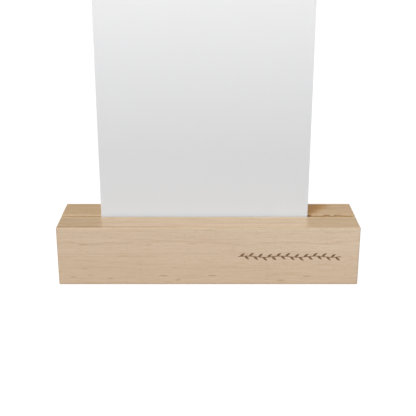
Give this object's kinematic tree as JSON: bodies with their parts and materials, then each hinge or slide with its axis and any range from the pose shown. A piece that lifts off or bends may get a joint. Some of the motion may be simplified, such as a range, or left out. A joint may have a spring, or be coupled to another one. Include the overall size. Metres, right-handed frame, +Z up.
{
  "type": "wooden photo block holder",
  "caption": "Rectangular beech bar with a narrow lengthwise slot in its top that holds a portrait photo card upright; the card lifts out.",
  "frame": {"origin": "on the surface that the bar stands on, under the middle of the bar", "axes": "+Z up, X along the bar and its slot, -Y towards the viewer, so the bar's long front face looks along -Y"},
  "size_m": [0.15, 0.0356, 0.1666],
  "materials": {
    "beech": "satin",
    "card_paper": "matte"
  },
  "bodies": {
    "bar": {"wooden_bar": "beech"},
    "card": {"photo_card": "card_paper"}
  },
  "joints": [
    {"name": "card_lift", "type": "slide", "parent": "bar", "child": "card", "axis": [0, 0, 1], "range_m": [0, 0.02]}
  ]
}
